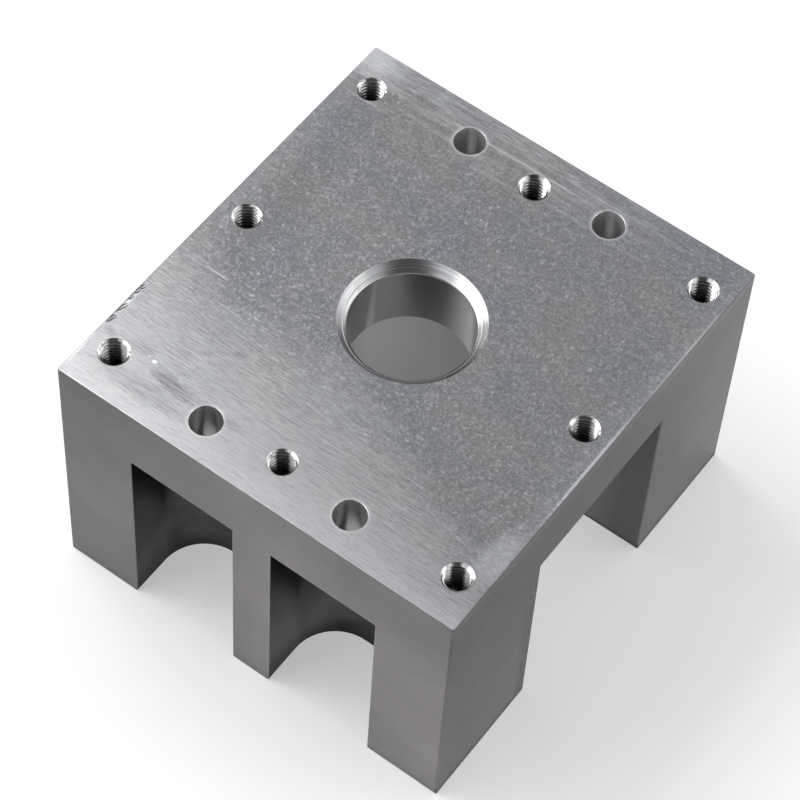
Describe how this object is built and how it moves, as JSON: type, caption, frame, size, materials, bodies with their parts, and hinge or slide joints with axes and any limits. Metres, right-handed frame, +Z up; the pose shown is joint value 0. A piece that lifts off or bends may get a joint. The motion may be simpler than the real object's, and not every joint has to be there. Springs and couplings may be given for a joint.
{
  "type": "machined mounting block",
  "caption": "Milled aluminium mounting block: a thick deck on two pocketed end walls, with a chamfered central bore, tapped rim holes and plain through holes.",
  "frame": {"origin": "under the middle of the deck, on the plane that the feet stand on", "axes": "+X along the side that shows three legs, +Y along the side that shows two legs, +Z up"},
  "size_m": [0.092, 0.1, 0.065],
  "materials": {
    "machined_aluminium": "bare milled aluminium, fly cut on top with fine straight tool lines, satin on the sides"
  },
  "bodies": {
    "root": {"mounting_block": "machined_aluminium"}
  },
  "joints": []
}
